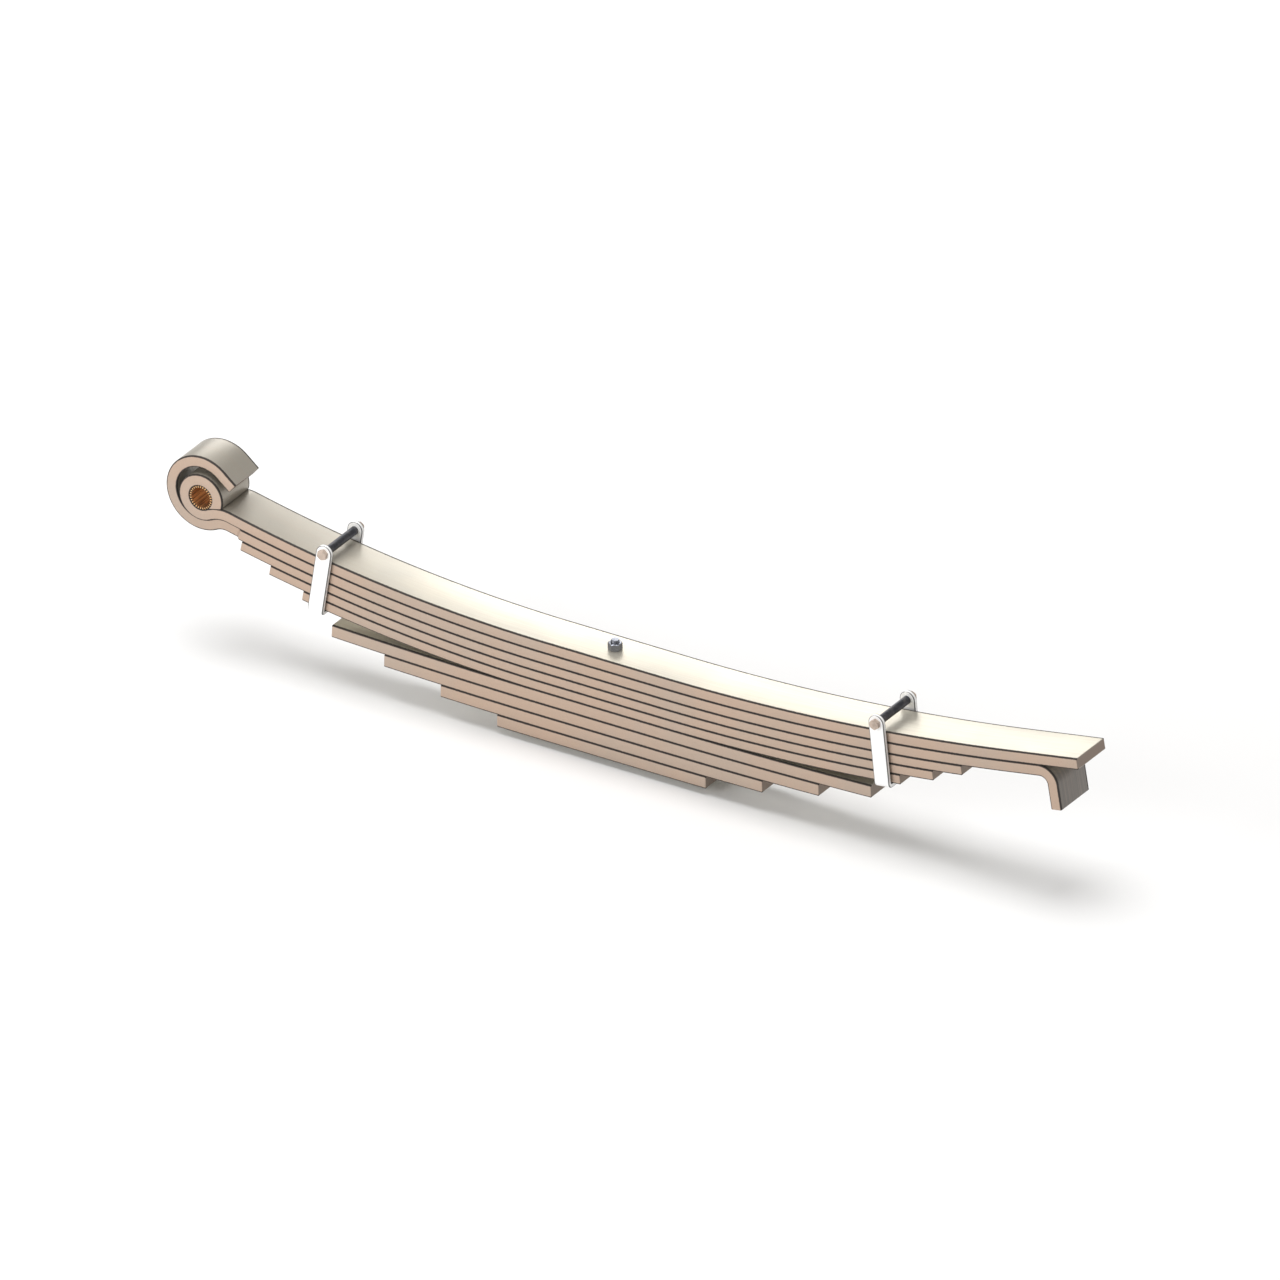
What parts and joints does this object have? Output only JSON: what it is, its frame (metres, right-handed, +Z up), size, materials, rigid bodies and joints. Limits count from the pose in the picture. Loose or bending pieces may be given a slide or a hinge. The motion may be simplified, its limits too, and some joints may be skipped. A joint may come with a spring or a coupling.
{
  "type": "leaf spring",
  "caption": "Two-stage truck leaf spring: a main pack with a rolled eye, military wrap, slipper end and rebound hook over a flatter helper pack, held by a centre bolt and rebound clips.",
  "frame": {"origin": "on the centre bolt's axis, on the axle seat face under the lowest helper leaf", "axes": "+X towards the slipper end (the rear), +Y along the eye's axis across the leaves, +Z up"},
  "size_m": [1.5632, 0.1101, 0.3073],
  "materials": {
    "spring_steel": "rolled and shot-peened, warm grey, satin",
    "strap_steel": "bright plated, satin",
    "fastener_steel": "plain, lightly oiled",
    "tube_steel": "dark oxide",
    "bush_bronze": "bronze, machined"
  },
  "bodies": {
    "leaf_pack": {"main_leaf": "spring_steel", "second_leaf": "spring_steel", "third_leaf": "spring_steel", "fourth_leaf": "spring_steel", "fifth_leaf": "spring_steel", "helper_leaf_1": "spring_steel", "helper_leaf_2": "spring_steel", "helper_leaf_3": "spring_steel", "helper_leaf_4": "spring_steel", "centre_bolt": "fastener_steel", "centre_nut": "fastener_steel"},
    "front_arm": {"eye_bush": "bush_bronze", "front_clip_strap": "strap_steel", "front_clip_rivet": "fastener_steel", "front_clip_spacer": "tube_steel", "front_clip_bolt": "fastener_steel", "front_clip_nut": "fastener_steel"},
    "rear_arm": {"rear_clip_strap": "strap_steel", "rear_clip_rivet": "fastener_steel", "rear_clip_spacer": "tube_steel", "rear_clip_bolt": "fastener_steel", "rear_clip_nut": "fastener_steel"}
  },
  "joints": [
    {"name": "front_flex", "type": "hinge", "parent": "leaf_pack", "child": "front_arm", "pos_m": [-0.266, 0, 0.127], "axis": [0, -1, 0], "range_deg": [-1.5, 5], "stiffness_Nm_per_rad": 56600, "deforming": ["main_leaf", "second_leaf", "third_leaf", "fourth_leaf", "fifth_leaf"]},
    {"name": "rear_flex", "type": "hinge", "parent": "leaf_pack", "child": "rear_arm", "pos_m": [0.298, 0, 0.127], "axis": [0, 1, 0], "range_deg": [-1.5, 3.8], "stiffness_Nm_per_rad": 47000, "deforming": ["main_leaf", "second_leaf", "third_leaf", "fourth_leaf", "fifth_leaf"]}
  ]
}
